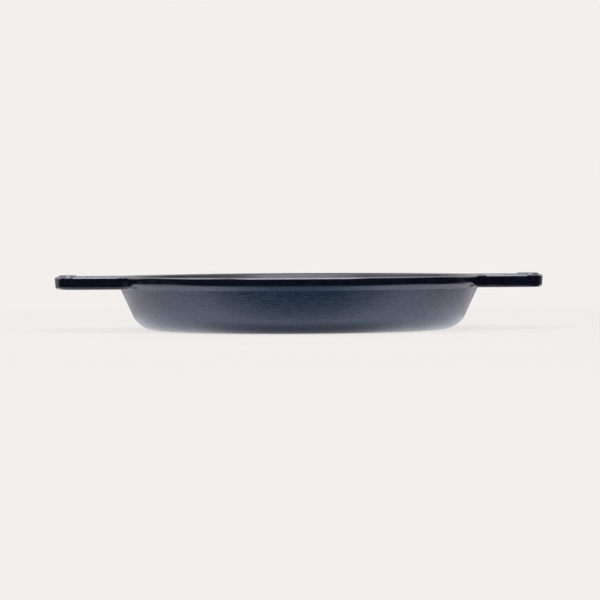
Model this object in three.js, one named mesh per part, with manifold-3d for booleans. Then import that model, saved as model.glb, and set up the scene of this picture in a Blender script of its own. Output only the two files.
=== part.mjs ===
// Shallow two-handled pan: cast iron with enamel fired on in zones.
// Millimetres, +Z up. The origin is the middle of the base, on the surface that the pan stands on.
// The handles lie along +X and -X, level with the rim.

import * as THREE from 'three';
import { mergeVertices } from 'three/addons/utils/BufferGeometryUtils.js';
import Module from 'manifold-3d';

const wasm = await Module();
wasm.setup();

// Bowl
const RIM_DIAMETER = 310;
const PAN_HEIGHT = 45.6;
const WALL_LEAN = THREE.MathUtils.degToRad(24.5); // from upright
const OUTER_CORNER_RADIUS = 21;
const INNER_CORNER_RADIUS = 18;
const IRON_WALL = 3.8;
const IRON_FLOOR = 4.4;

// Rim
const RIM_FACE_HEIGHT = 6.9; // upright outer face with its rounded top edge
const RIM_OVERHANG = 3.5; // the rim's face beyond the crease at the top of the wall
const RIM_UNDERSIDE_LEAN = THREE.MathUtils.degToRad(45); // from upright
const RIM_EDGE_RADIUS = 2;
const CROWN_FLAT = 1; // least flat width left between the crown's rounded edges

// Base
const STANDING_RING_WIDTH = 22;
const RECESS_DEPTH = 0.8; // of the underside within the standing ring

// Handles
const HANDLE_REACH = 51.5; // from the rim's face to the tip
const HANDLE_THICKNESS = 10.4;
const ROOT_WIDTH = 98; // across both arms at the rim
const TIP_WIDTH = 94; // across both arms at the tip
const ARM_WIDTH = 18;
const BAR_WIDTH = 20;
const BAR_BOW_RADIUS = 150; // gentle bow of the outer bar, in plan
const TIP_CORNER_RADIUS = 16;
const SLOT_CORNER_RADIUS = 11;
const ROOT_FILLET_RADIUS = 12; // outside of an arm to the rim
const SLOT_FILLET_RADIUS = 7; // inside of an arm to the rim
const FILLET_SINK = 1.2; // the fillets to the rim run out this far inside its face
const HANDLE_EDGE_RADIUS = 2;

// Raised rest on the bar, where a thumb lies
const REST_LENGTH = 48;
const REST_MARGIN = 3; // from the bar's edges
const REST_HEIGHT = 1.1;
const REST_EDGE_RADIUS = 0.7;

// Enamel
const ENAMEL = 0.6;
const FIT_GAP = 0.3; // between neighbouring pieces

// Facets
const ROUND_SEGMENTS = 48;
const CORNER_STEPS = 4;
const EDGE_STEPS = 2;
const ARC_STEPS = 2;
const LEAST_RADIUS = 0.2;
const WELD = 1e-4; // points closer than this are one point

const NAVY = { color: 0x10202f, roughness: 0.2, metalness: 0 };
const BLACK = { color: 0x17181a, roughness: 0.45, metalness: 0 };
const IRON = { color: 0x4a4846, roughness: 0.7, metalness: 0.6 };

const HANDLE_TURNS = { right: 0, left: Math.PI }; // about the pan's axis

const point = (x, y) => new THREE.Vector2(x, y);

// Unit vectors of a line that leans out from upright: up along it, and square out of it
const upAlong = (lean) => point(Math.sin(lean), Math.cos(lean));
const outOf = (lean) => point(Math.cos(lean), -Math.sin(lean));

// Point beside a line's start, this far along its outward square
const beside = (start, lean, distance) => start.clone().addScaledVector(outOf(lean), distance);

// Points of a line that starts at a point and leans out: where it has a radius, or a height
function atRadius(start, lean, radius) {
  return point(radius, start.y + (radius - start.x) / Math.tan(lean));
}

function atHeight(start, lean, height) {
  return point(start.x + (height - start.y) * Math.tan(lean), height);
}

function crossing(startA, leanA, startB, leanB) {
  const along = startB.clone().sub(startA).cross(upAlong(leanB)) / upAlong(leanA).cross(upAlong(leanB));
  return startA.clone().addScaledVector(upAlong(leanA), along);
}

// Points on an arc, both ends included
function arc(centre, radius, from, to, steps) {
  return Array.from({ length: steps + 1 }, (_, step) => {
    const angle = from + ((to - from) * step) / steps;
    return point(centre.x + radius * Math.cos(angle), centre.y + radius * Math.sin(angle));
  });
}

// Worked out from the sizes above. A depth counts from the finished surface into the material:
// a coat lies between depth 0 and ENAMEL, and the iron starts at IRON_DEPTH.
const IRON_DEPTH = ENAMEL + FIT_GAP;
const WALL_THICKNESS = IRON_WALL + 2 * IRON_DEPTH;
const FLOOR_HEIGHT = RECESS_DEPTH + IRON_FLOOR + 2 * IRON_DEPTH;

// The wall runs down from the crease and turns into the base, so it sets where the base ends.
const RIM_RADIUS = RIM_DIAMETER / 2;
const rimFaceFoot = point(RIM_RADIUS, PAN_HEIGHT - RIM_FACE_HEIGHT);
const crease = atRadius(rimFaceFoot, RIM_UNDERSIDE_LEAN, RIM_RADIUS - RIM_OVERHANG);
const outerCornerCentre = atHeight(
  beside(crease, WALL_LEAN, -OUTER_CORNER_RADIUS), WALL_LEAN, OUTER_CORNER_RADIUS);
const BASE_RADIUS = outerCornerCentre.x;

const innerCornerCentre = atHeight(
  beside(crease, WALL_LEAN, -WALL_THICKNESS - INNER_CORNER_RADIUS),
  WALL_LEAN, FLOOR_HEIGHT + INNER_CORNER_RADIUS);

// The crown's two rounded edges leave a flat between them.
const crownInnerCorner = atHeight(beside(crease, WALL_LEAN, -WALL_THICKNESS), WALL_LEAN, PAN_HEIGHT);
const innerEdgeRun = (1 - Math.sin(WALL_LEAN)) / Math.cos(WALL_LEAN); // for a radius of 1
const widestEdge = (RIM_RADIUS - crownInnerCorner.x - CROWN_FLAT) / (1 + innerEdgeRun);
const crownEdge = Math.min(RIM_EDGE_RADIUS, widestEdge);

// Radius of a rounded outside edge at a depth
const edgeAt = (radius, depth) => Math.max(radius - depth, LEAST_RADIUS);

// Half sections of the bowl, as (radius, height) points

// Outer wall from the base up to the crease under the rim
function wallSection(depth) {
  const radius = OUTER_CORNER_RADIUS - depth;
  const corner = arc(outerCornerCentre, radius, -Math.PI / 2, -WALL_LEAN, CORNER_STEPS);
  return [...corner, rimSection(depth)[0]];
}

// Rim from the crease, along its underside and face, over the top edge and on to the crown
function rimSection(depth) {
  const underside = beside(rimFaceFoot, RIM_UNDERSIDE_LEAN, -depth);
  const radius = edgeAt(crownEdge, depth);
  const edgeCentre = point(RIM_RADIUS - depth - radius, PAN_HEIGHT - depth - radius);
  return [
    crossing(beside(crease, WALL_LEAN, -depth), WALL_LEAN, underside, RIM_UNDERSIDE_LEAN),
    atRadius(underside, RIM_UNDERSIDE_LEAN, RIM_RADIUS - depth),
    ...arc(edgeCentre, radius, 0, Math.PI / 2, EDGE_STEPS),
  ];
}

// Cooking surface from the crown's inner edge down the inner wall to the flat floor
function innerSection(depth) {
  const radius = edgeAt(crownEdge, depth);
  const edgeLine = beside(crease, WALL_LEAN, depth + radius - WALL_THICKNESS);
  const edgeCentre = atHeight(edgeLine, WALL_LEAN, PAN_HEIGHT - depth - radius);
  return [
    ...arc(edgeCentre, radius, Math.PI / 2, Math.PI - WALL_LEAN, EDGE_STEPS),
    ...arc(innerCornerCentre, INNER_CORNER_RADIUS + depth, -WALL_LEAN, -Math.PI / 2, CORNER_STEPS),
  ];
}

// Underside from the axis out to the edge of the standing ring
function baseSection(depth, edge) {
  const recessRadius = BASE_RADIUS - STANDING_RING_WIDTH + depth;
  return [
    point(0, RECESS_DEPTH + depth),
    point(recessRadius, RECESS_DEPTH + depth),
    point(recessRadius, depth),
    point(edge, depth),
  ];
}

// The coat round the rim starts a gap above the crease and ends a gap short of the inner coat.
function rimCoatSection(depth) {
  const [start, ...rest] = rimSection(depth);
  const [innerCoatEnd] = innerSection(depth);
  start.addScaledVector(upAlong(RIM_UNDERSIDE_LEAN), FIT_GAP);
  return [start, ...rest, point(innerCoatEnd.x + FIT_GAP, innerCoatEnd.y)];
}

// Plan of the right handle

const handleTip = RIM_RADIUS + HANDLE_REACH;
const handleBottom = PAN_HEIGHT - HANDLE_THICKNESS;
const panAxis = point(0, 0);
const bowCentre = point(handleTip - BAR_BOW_RADIUS, 0);

// The outer edge of the arm on the +Y side, from the rim to the tip
const armStart = point(RIM_RADIUS, ROOT_WIDTH / 2);
const armAlong = point(handleTip, TIP_WIDTH / 2).sub(armStart).normalize();
const armOut = point(-armAlong.y, armAlong.x);

// Centre of an arc: this far outside the arm's edge, and at a distance from another centre
function arcCentre(outside, centre, distance) {
  const start = armStart.clone().addScaledVector(armOut, outside);
  const fromCentre = start.clone().sub(centre);
  const nearest = -fromCentre.dot(armAlong);
  const along = nearest + Math.sqrt(nearest ** 2 - fromCentre.lengthSq() + distance ** 2);
  return start.addScaledVector(armAlong, along);
}

const slotDepth = HANDLE_REACH - BAR_WIDTH;
const slotCorner = Math.min(SLOT_CORNER_RADIUS, slotDepth / 2);
const slotFillet = Math.min(SLOT_FILLET_RADIUS, slotDepth - slotCorner);
const slotBowRadius = BAR_BOW_RADIUS - BAR_WIDTH;
const blendRadius = RIM_RADIUS - FILLET_SINK;

const rootCentre = arcCentre(ROOT_FILLET_RADIUS, panAxis, blendRadius + ROOT_FILLET_RADIUS);
const tipCentre = arcCentre(-TIP_CORNER_RADIUS, bowCentre, BAR_BOW_RADIUS - TIP_CORNER_RADIUS);
const slotTipCentre = arcCentre(-ARM_WIDTH - slotCorner, bowCentre, slotBowRadius - slotCorner);
const slotRootCentre = arcCentre(-ARM_WIDTH - slotFillet, panAxis, blendRadius + slotFillet);

const directionFrom = (from, to) => Math.atan2(to.y - from.y, to.x - from.x);

// Outline from a path, with points that fall together taken as one
function outlineOf(path) {
  const points = path.getPoints(ARC_STEPS);
  return new THREE.Shape(points.filter((here, at) => here.distanceTo(points.at(at - 1)) > WELD));
}

// Adds an arc to a path, which runs straight on to its start. It turns from one angle to the other.
function addArc(path, centre, radius, from, to) {
  path.absarc(centre.x, centre.y, radius, from, to, from > to);
}

// End of an arm's side inside the bowl, on the radius through a fillet's centre or beside it
function insideBowl(filletCentre, aside) {
  const outwards = filletCentre.clone().normalize();
  const across = point(-outwards.y, outwards.x);
  const radius = crease.x - HANDLE_EDGE_RADIUS - FILLET_SINK;
  return outwards.multiplyScalar(radius).addScaledVector(across, aside);
}

// Bow of the handle: the outer edge from the +Y root round the bar to the -Y root, then back along
// the finger gap. The roots run on into the bowl, which cuts them off.
function bowOutline(depth) {
  const mirrored = (centre) => point(centre.x, -centre.y);
  const armSquare = armOut.angle();
  const tipTurn = directionFrom(bowCentre, tipCentre);
  const slotTurn = directionFrom(bowCentre, slotTipCentre);
  const rootRadius = ROOT_FILLET_RADIUS + depth;
  const slotRootRadius = slotFillet + depth;
  const rootTurn = directionFrom(rootCentre, panAxis) + Math.asin(depth / rootRadius);
  const slotRootTurn = directionFrom(slotRootCentre, panAxis) - Math.asin(depth / slotRootRadius)
    + 2 * Math.PI;
  const rootEnd = insideBowl(rootCentre, -depth);
  const slotRootEnd = insideBowl(slotRootCentre, depth);
  const path = new THREE.Path();
  addArc(path, rootCentre, rootRadius, rootTurn, armSquare - Math.PI);
  addArc(path, tipCentre, TIP_CORNER_RADIUS - depth, armSquare, tipTurn);
  addArc(path, bowCentre, BAR_BOW_RADIUS - depth, tipTurn, -tipTurn);
  addArc(path, mirrored(tipCentre), TIP_CORNER_RADIUS - depth, -tipTurn, -armSquare);
  addArc(path, mirrored(rootCentre), rootRadius, Math.PI - armSquare, -rootTurn);
  path.lineTo(rootEnd.x, -rootEnd.y);
  path.lineTo(slotRootEnd.x, -slotRootEnd.y);
  addArc(path, mirrored(slotRootCentre), slotRootRadius, -slotRootTurn, -armSquare);
  addArc(path, mirrored(slotTipCentre), slotCorner + depth, -armSquare, -slotTurn);
  addArc(path, bowCentre, slotBowRadius + depth, -slotTurn, slotTurn);
  addArc(path, slotTipCentre, slotCorner + depth, slotTurn, armSquare);
  addArc(path, slotRootCentre, slotRootRadius, armSquare, slotRootTurn);
  path.lineTo(slotRootEnd.x, slotRootEnd.y);
  path.lineTo(rootEnd.x, rootEnd.y);
  return outlineOf(path);
}

// Raised rest along the middle of the bar, with round ends
function restOutline(depth) {
  const middle = BAR_BOW_RADIUS - BAR_WIDTH / 2;
  const fullHalfWidth = BAR_WIDTH / 2 - REST_MARGIN;
  const halfWidth = fullHalfWidth - depth;
  const turn = (REST_LENGTH / 2 - fullHalfWidth) / middle;
  const end = (angle) => point(Math.cos(angle), Math.sin(angle)).multiplyScalar(middle).add(bowCentre);
  const path = new THREE.Path();
  addArc(path, bowCentre, middle + halfWidth, -turn, turn);
  addArc(path, end(turn), halfWidth, turn, turn + Math.PI);
  addArc(path, bowCentre, middle - halfWidth, turn, -turn);
  addArc(path, end(-turn), halfWidth, Math.PI - turn, 2 * Math.PI - turn);
  return outlineOf(path);
}

// Geometry and solids

function revolve(section) {
  return new THREE.LatheGeometry(section, ROUND_SEGMENTS).rotateX(Math.PI / 2);
}

// Ring-shaped coat between two sections that both run upwards
function coat(outside, inside) {
  return revolve([...outside, ...inside.toReversed(), outside[0]]);
}

// Plate between two heights, with its edges rounded inside the outline
function plate(outline, bottom, top, edge) {
  const geometry = new THREE.ExtrudeGeometry(outline, {
    depth: top - bottom - 2 * edge,
    bevelThickness: edge,
    bevelSize: edge,
    bevelOffset: -edge,
    bevelSegments: EDGE_STEPS,
  });
  return geometry.translate(0, 0, bottom + edge);
}

function solidOf(geometry) {
  const bare = geometry.clone();
  bare.deleteAttribute('normal');
  bare.deleteAttribute('uv');
  const welded = mergeVertices(bare, WELD);
  const corners = welded.index.array;
  const triangles = [];
  for (let first = 0; first < corners.length; first += 3) {
    const triangle = corners.slice(first, first + 3);
    if (new Set(triangle).size === 3) triangles.push(...triangle);
  }
  const vertProperties = welded.attributes.position.array;
  const triVerts = new Uint32Array(triangles);
  return new wasm.Manifold(new wasm.Mesh({ numProp: 3, vertProperties, triVerts }));
}

function geometryOf(solid) {
  const { vertProperties, triVerts } = solid.getMesh();
  const geometry = new THREE.BufferGeometry();
  geometry.setAttribute('position', new THREE.BufferAttribute(vertProperties, 3));
  geometry.setIndex(new THREE.BufferAttribute(triVerts, 1));
  geometry.computeVertexNormals();
  return geometry;
}

// The bowl's outer form at a depth, filled in, for cutting what joins it
function bowlSolid(depth) {
  const section = [...wallSection(depth), ...rimSection(depth).slice(1)];
  return solidOf(revolve([point(0, section[0].y), ...section, point(0, section.at(-1).y)]));
}

// A handle's outer form at a depth, with the rest on its bar
function handleSolid(depth, turn) {
  const top = PAN_HEIGHT - depth;
  const edge = edgeAt(HANDLE_EDGE_RADIUS, depth);
  const restEdge = edgeAt(REST_EDGE_RADIUS, depth);
  const restFoot = handleBottom + HANDLE_THICKNESS / 2;
  const bow = plate(bowOutline(depth), handleBottom + depth, top, edge);
  const rest = plate(restOutline(depth), restFoot, top + REST_HEIGHT, restEdge);
  return solidOf(bow.rotateZ(turn)).add(solidOf(rest.rotateZ(turn)));
}

// The iron of both handles passes through openings in the bowl's outer coats.
function withHandleOpenings(geometry) {
  let solid = solidOf(geometry);
  for (const turn of Object.values(HANDLE_TURNS)) solid = solid.subtract(handleSolid(ENAMEL, turn));
  return geometryOf(solid);
}

// Pieces

function piece(name, geometry, finish) {
  const mesh = new THREE.Mesh(geometry, new THREE.MeshStandardMaterial(finish));
  mesh.name = name;
  return mesh;
}

function ironBowl() {
  const outside = [...baseSection(IRON_DEPTH, BASE_RADIUS), ...wallSection(IRON_DEPTH).slice(1)];
  const rim = rimSection(IRON_DEPTH).slice(1);
  const inside = innerSection(IRON_DEPTH);
  const section = [...outside, ...rim, ...inside, point(0, inside.at(-1).y)];
  return piece('iron_bowl', revolve(section), IRON);
}

function baseEnamel() {
  const edge = BASE_RADIUS - FIT_GAP;
  const section = [...baseSection(0, edge), ...baseSection(ENAMEL, edge).toReversed()];
  return piece('base_enamel', revolve(section), NAVY);
}

function wallEnamel() {
  const geometry = coat(wallSection(0), wallSection(ENAMEL));
  return piece('wall_enamel', withHandleOpenings(geometry), NAVY);
}

function rimEnamel() {
  const geometry = coat(rimCoatSection(0), rimCoatSection(ENAMEL));
  return piece('rim_enamel', withHandleOpenings(geometry), NAVY);
}

function innerEnamel() {
  const top = innerSection(0);
  const under = innerSection(ENAMEL);
  const section = [point(0, under.at(-1).y), ...under.toReversed(), ...top, point(0, top.at(-1).y)];
  return piece('inner_enamel', revolve(section), BLACK);
}

function ironHandle(side) {
  const bow = handleSolid(IRON_DEPTH, 0).subtract(bowlSolid(ENAMEL));
  return piece(`iron_handle_${side}`, geometryOf(bow), IRON);
}

function handleEnamel(side) {
  const skin = handleSolid(0, 0).subtract(handleSolid(ENAMEL, 0)).subtract(bowlSolid(-FIT_GAP));
  return piece(`handle_enamel_${side}`, geometryOf(skin), NAVY);
}

function handle(side, turn) {
  const group = new THREE.Group();
  group.add(ironHandle(side), handleEnamel(side));
  group.rotation.z = turn;
  return group;
}

const pan = new THREE.Group();
pan.add(ironBowl(), baseEnamel(), wallEnamel(), rimEnamel(), innerEnamel());
for (const [side, turn] of Object.entries(HANDLE_TURNS)) pan.add(handle(side, turn));

export default pan;
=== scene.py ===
"""Looks of a shallow two-handled pan: its enamel coats, its iron and a plain studio around it."""

from math import atan2, cos, pi, radians, sin, sqrt, tan

import bmesh
import bpy
from bpy.props import FloatProperty, FloatVectorProperty, PointerProperty
from mathutils import Matrix, Vector


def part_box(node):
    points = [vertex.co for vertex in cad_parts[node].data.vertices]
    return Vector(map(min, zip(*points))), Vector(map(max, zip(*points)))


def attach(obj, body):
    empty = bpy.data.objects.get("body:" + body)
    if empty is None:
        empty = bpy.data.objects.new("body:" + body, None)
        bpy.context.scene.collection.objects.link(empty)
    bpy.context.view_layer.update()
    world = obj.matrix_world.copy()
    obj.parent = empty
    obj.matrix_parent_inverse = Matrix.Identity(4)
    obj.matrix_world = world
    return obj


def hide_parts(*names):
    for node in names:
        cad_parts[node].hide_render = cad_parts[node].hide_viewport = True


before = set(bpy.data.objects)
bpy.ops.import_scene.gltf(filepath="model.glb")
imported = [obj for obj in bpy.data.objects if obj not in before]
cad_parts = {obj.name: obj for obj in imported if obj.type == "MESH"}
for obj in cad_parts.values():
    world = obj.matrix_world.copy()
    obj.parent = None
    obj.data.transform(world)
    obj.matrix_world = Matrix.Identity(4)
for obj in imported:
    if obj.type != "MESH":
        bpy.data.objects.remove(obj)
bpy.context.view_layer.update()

bl_info = {
    "name": "Shallow two-handled pan",
    "version": (1, 0, 0),
    "blender": (4, 5, 0),
    "location": "3D View > Sidebar > Pan",
    "description": "Enamel coats, iron and studio of a shallow cast iron pan with two loop handles",
    "category": "Object",
}

RIM_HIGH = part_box("rim_enamel")[1]
WALL_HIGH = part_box("wall_enamel")[1]
INNER_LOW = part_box("inner_enamel")[0]
HANDLE_LOW, HANDLE_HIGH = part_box("handle_enamel_right")

# Facets of the finished meshes
ROUND_STEPS = 240
CORNER_STEPS = 18
EDGE_STEPS = 8
FACE_STEPS = 10
WALL_STEPS = 12
FLOOR_STEPS = 8
ARM_STEPS = 6
BOW_STEPS = 28
FILLET_STEPS = 14
RIM_STEPS = 100
SLOT_RIM_STEPS = 40
REST_STEPS = 16

# Finishes
ENAMEL_IOR = 1.85
SATIN_IOR = 1.5
ENAMEL_TINT = (0.86, 0.87, 1.0, 1.0)  # cool sheen of the enamel
PEEL_SHAPE = (1.0, 1.0, 3.0)  # dimples of the enamel lie wider than high
FLAT = (1.0, 1.0, 0.0)
NOISE_MEAN = 0.5
EDGE_TURN = (0.05, 0.35)  # turn over an edge, in radians, between which it gets paler
EDGE_SHARE = 0.55
STIRRED_SHARE = 0.5
SCUFFED_ROUGHNESS = 0.3  # above the enamel's
IRON_ROUGHNESS = (0.75, 0.55)  # in the hollows and on the grains
FIBRE_SHADE = 0.985  # of the floor's colour

# Values of a noise between which one shade or gloss gives way to another
MOTTLE_BAND = (0.38, 0.68)
RING_BAND = (0.52, 0.66)
PATCH_BAND = (0.45, 0.62)
IRON_BAND = (0.35, 0.65)
IRON_GLOSS_BAND = (0.3, 0.7)

# Soft edges of the mirrored table: distances from the axis, or X and Y, at which each starts and ends
NEAR_TO_FAR = (0.148, 0.177)
FAR_TO_WIDE = (0.188, 0.212)
WIDE_TO_END = (0.30, 0.45)
END_WAY = (0.198, 0.980, 0.0)  # from the pan to the grey end
END_SPREAD = (0.46, 0.63)  # cosine of the angle from that way
FOOT_SHADE = (0.132, 0.152)
FOOT_SHADE_FRONT = (-0.136, -0.098)
CORNER_SHADE = ((0.172, 0.188), (-0.075, -0.050))
SIDE_SHADE = ((0.195, 0.225), (0.02, 0.05))

# Soft edges of the mirrored cloth, in height and in Y
CLOTH_FOOT = (0.05, 0.09)
CLOTH_PALE = (0.3, 0.9)
CLOTH_BACK = (1.05, 1.5)
CLOTH_END = (2.36, 2.50)

FACE_DEPTH = 0.01  # bright face of a softbox behind its lamp
SENSOR_WIDTH = 36.0  # millimetres
CLIP_START = 0.05
CLIP_END = 50.0
WHITE = (1.0, 1.0, 1.0)
MIX_COLOURS = (6, 7)  # sockets of a Mix node for colours
MIX_RESULT = 2

WELD = 1e-6
SAME_HEIGHT = 2e-6
SHARP_ANGLE = radians(42)

SECTION_AXIS = Vector((0, -1, 0))  # a turn about it takes X towards Z
PLAN_AXIS = Vector((0, 0, 1))  # a turn about it takes X towards Y
HANDLE_TURNS = (0.0, pi)


def length(name, description, default):
    """Length property in metres."""
    return FloatProperty(name=name, description=description, default=default, unit="LENGTH",
                         subtype="DISTANCE", precision=5)


def angle(name, description, default):
    """Angle property, given in degrees."""
    return FloatProperty(name=name, description=description, default=radians(default),
                         subtype="ANGLE", unit="ROTATION")


def colour(name, description, default):
    """Colour property, in linear values."""
    return FloatVectorProperty(name=name, description=description, default=default, size=3,
                               min=0.0, max=1.0, subtype="COLOR")


def level(name, description, default):
    """Plain number property."""
    return FloatProperty(name=name, description=description, default=default, min=0.0)


class PanSizes(bpy.types.PropertyGroup):
    """Sizes of the bowl and its coats."""

    rim_radius: length("Rim radius", "Axis to the rim's face", RIM_HIGH.x)
    height: length("Height", "Floor to the crown of the rim", RIM_HIGH.z)
    crease_radius: length("Crease radius", "Axis to the crease under the rim", WALL_HIGH.x)
    crease_height: length("Crease height", "Floor to the crease under the rim", WALL_HIGH.z)
    wall_lean: angle("Wall lean", "Lean of the wall from upright", 24.5)
    wall_thickness: length("Wall thickness", "Iron and both coats, square to the wall", 0.0056)
    outer_corner: length("Outer corner", "Radius from the base to the outer wall", 0.021)
    inner_corner: length("Inner corner", "Radius from the floor to the inner wall", 0.018)
    coat: length("Coat", "Thickness of an enamel coat", 0.0006)
    crown_edge: length("Crown edge", "Radius of the crown's inner edge", 0.0032)
    ring_width: length("Ring width", "Width of the standing ring", 0.022)
    recess: length("Recess", "Depth of the underside within the standing ring", 0.0008)
    recess_edge: length("Recess edge", "Radius of the step to the recess", 0.0004)


class HandleSizes(bpy.types.PropertyGroup):
    """Sizes of the rim's edge section and of the two handles."""

    tip: length("Tip", "Axis to the tip of a handle", HANDLE_HIGH.x)
    bottom: length("Bottom", "Floor to the underside of the handles", HANDLE_LOW.z)
    root_width: length("Root width", "Across both arms at the rim", 0.098)
    tip_width: length("Tip width", "Across both arms at the tip", 0.094)
    arm_width: length("Arm width", "Width of an arm", 0.018)
    bar_width: length("Bar width", "Width of the outer bar", 0.020)
    bow_radius: length("Bow radius", "Gentle bow of the bar's outer edge", 0.150)
    tip_corner: length("Tip corner", "Outer corner between arm and bar", 0.016)
    slot_corner: length("Slot corner", "Inner corner between arm and bar", 0.011)
    root_fillet: length("Root fillet", "Outside of an arm to the rim", 0.012)
    slot_fillet: length("Slot fillet", "Inside of an arm to the rim", 0.008)
    top_edge: length("Top edge", "Radius of the upper outer edge", 0.0018)
    bottom_edge: length("Bottom edge", "Radius of a handle's lower edge", 0.0024)
    draft: angle("Draft", "Lean of the upright faces, which draw in towards the bottom", 4.0)
    land: length("Land", "Flat beside the upper edge", 0.0003)
    rim_corner: length("Rim corner", "Radius from the rim's face to its underside", 0.0014)
    slope_rise: length("Slope rise", "Height of the rim's sloping underside", 0.0040)
    slope_start: length("Slope start", "Beside an arm to where the sloping underside starts", 0.0130)
    slope_fade: length("Slope fade", "Distance over which the slope gets its full height", 0.006)
    rest_length: length("Rest length", "Raised rest along the bar", 0.048)
    rest_width: length("Rest width", "Raised rest across the bar", 0.0136)
    rest_top: length("Rest top", "Floor to the top of the raised rest", HANDLE_HIGH.z)
    rest_slope: angle("Rest slope", "Steepest slope of the rest's soft edge", 70.0)


class PanColours(bpy.types.PropertyGroup):
    """Colours of the finishes."""

    wall_navy: colour("Wall navy", "Enamel of the outer wall", (0.0122, 0.0375, 0.0770))
    wall_teal: colour("Wall teal", "Lighter mottle in the wall's enamel", (0.0195, 0.0555, 0.1060))
    # The rim and handles take a much darker navy than the wall: partly the enamel's own tone, partly painted
    # shade of faces turned to the dark room in front.
    rim_navy_and_shade: colour("Rim navy", "Enamel of the rim and handles", (0.0038, 0.0050, 0.0145))
    rim_blue_and_shade: colour("Rim blue", "Lighter mottle in the rim's enamel", (0.0056, 0.0074, 0.0210))
    # Painted light: the rim's sloping underside is painted in this paler navy for the light that it catches
    # from below; worn edges of the rim and handles take it too.
    rim_under_lit_and_worn: colour("Rim underside", "Enamel that runs thin under the rim", (0.0158, 0.0460, 0.0900))
    satin_black: colour("Satin black", "Enamel of the cooking surface", (0.0160, 0.0160, 0.0230))
    satin_grey: colour("Satin grey", "Lighter mottle of the cooking surface", (0.0280, 0.0280, 0.0370))
    stirred: colour("Stirred", "Faint ring marks on the cooking surface", (0.0400, 0.0400, 0.0480))
    scuffed: colour("Scuffed", "Ring marks on the standing ring", (0.0600, 0.0620, 0.0660))
    iron_dark: colour("Iron dark", "Hollows of the bare casting", (0.040, 0.038, 0.036))
    iron_light: colour("Iron light", "Grains of the bare casting", (0.100, 0.097, 0.094))


class StudioSettings(bpy.types.PropertyGroup):
    """Camera, lamps, floor and background, and what only reflections see."""

    distance: length("Camera distance", "Pan's axis to the camera", 2.29)
    eye_height: length("Eye height", "Floor to the camera", 0.0768)
    aside: length("Aside", "Camera to the right of the axis", 0.0010)
    turn: angle("Turn", "Camera and lamps turned about the pan, to its left", 3.3)
    pitch: angle("Pitch", "Camera tilted down", 1.306)
    roll: angle("Roll", "Camera turned clockwise", 0.316)
    lens: level("Lens", "Focal length in millimetres on a 36 mm sensor", 161.9)
    pale: colour("Pale", "Background seen past the pan", (0.896, 0.863, 0.838))
    floor: colour("Floor", "Paper that the pan stands on", (0.800, 0.773, 0.752))
    floor_radius: length("Floor radius", "Axis to the edge of the floor", 1.0)
    floor_drop: length("Floor drop", "Floor below the pan's foot", 0.0002)
    floor_evenness: level("Floor evenness", "Share of the floor that shows no shade", 0.84)
    floor_clear_from: length("Floor clear from", "Where the floor starts to fade out", 0.26)
    floor_clear_to: length("Floor clear to", "Where the floor has faded out", 0.90)
    table_near: colour("Table near", "Table beside the foot of the pan in reflections", (0.94, 0.94, 1.0))
    table_far: colour("Table far", "Table away from the pan in reflections", (0.64, 0.56, 0.565))
    table_wide: colour("Table wide", "Table further out in reflections", (0.67, 0.65, 0.70))
    table_radius: length("Table radius", "Axis to the edge of the table in reflections", 2.6)
    table_lift: length("Table lift", "Table in reflections above the pan's foot", 0.0006)
    table_front: length("Table front", "Axis to where the bright table ends in reflections", 0.1525)
    table_blur: length("Table blur", "Width of the soft front edge of the table", 0.046)
    table_shade: level("Table shade", "Depth of the pan's shade in front of its foot, in reflections", 0.74)
    table_end: colour("Table end", "Far end of the table in reflections", (0.16, 0.16, 0.165))
    table_strength: level("Table strength", "Brightness of the table in reflections", 1.17)
    shade: colour("Shade", "Dark room in reflections", (0.010, 0.010, 0.011))
    backdrop: colour("Backdrop", "Grey wall behind the pan in reflections", (0.450, 0.450, 0.500))
    screen_radius: length("Screen radius", "Axis to the screen round the studio", 2.7)
    screen_foot: length("Screen foot", "Floor to the screen's lower edge", -0.4)
    screen_top: length("Screen top", "Floor to the screen's upper edge", 3.2)
    sky: colour("Sky", "Colour of the even light", (1.0, 0.99, 0.98))
    sky_strength: level("Sky strength", "Even light from all round", 0.25)
    top_radiance: level("Top light", "Brightness of the softbox above", 4.2)
    top_width: length("Top width", "Softbox above from side to side", 1.10)
    top_depth: length("Top depth", "Softbox above from front to back", 0.75)
    top_height: length("Top height", "Floor to the softbox above", 1.10)
    top_forward: length("Top forward", "Softbox above in front of the pan's axis", 0.42)
    left_radiance: level("Left light", "Brightness of the softbox on the left", 1.8)
    right_radiance: level("Right light", "Brightness of the softbox on the right", 0.7)
    side_width: length("Side width", "Softbox at a side from front to back", 1.00)
    side_depth: length("Side depth", "Softbox at a side from low to high", 0.50)
    side_height: length("Side height", "Floor to the middle of a side softbox", 1.05)
    side_reach: length("Side reach", "Pan's axis to a side softbox", 0.80)
    side_back: length("Side back", "Side softboxes behind the pan's axis", 0.15)
    back_radiance: level("Back light", "Brightness of the softbox behind", 2.1)
    back_width: length("Back width", "Softbox behind from side to side", 0.60)
    back_depth: length("Back depth", "Softbox behind from low to high", 0.40)
    back_height: length("Back height", "Floor to the middle of the softbox behind", 0.85)
    back_reach: length("Back reach", "Pan's axis to the softbox behind", 1.10)
    sheen: level("Sheen", "Brightness of the softboxes' faces in reflections, over their light", 0.8)


# Drawing with bmesh


def drawn_from(bm, x, z):
    """First point of a section."""
    return bmesh.ops.create_vert(bm, co=(x, 0.0, z))["vert"]


def carried(bm, end, move, steps=1):
    """Draws the end of a line or strip straight on, and gives back its new end."""
    step = Vector(move) / steps
    spun = bmesh.ops.spin(bm, geom=end, cent=(0, 0, 0), axis=PLAN_AXIS, angle=0.0, dvec=step, steps=steps)
    return spun["geom_last"]


def line_to(bm, end, x, z, steps=1):
    """Draws a section straight on to a point."""
    return carried(bm, end, Vector((x, 0.0, z)) - end[0].co, steps)


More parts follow.
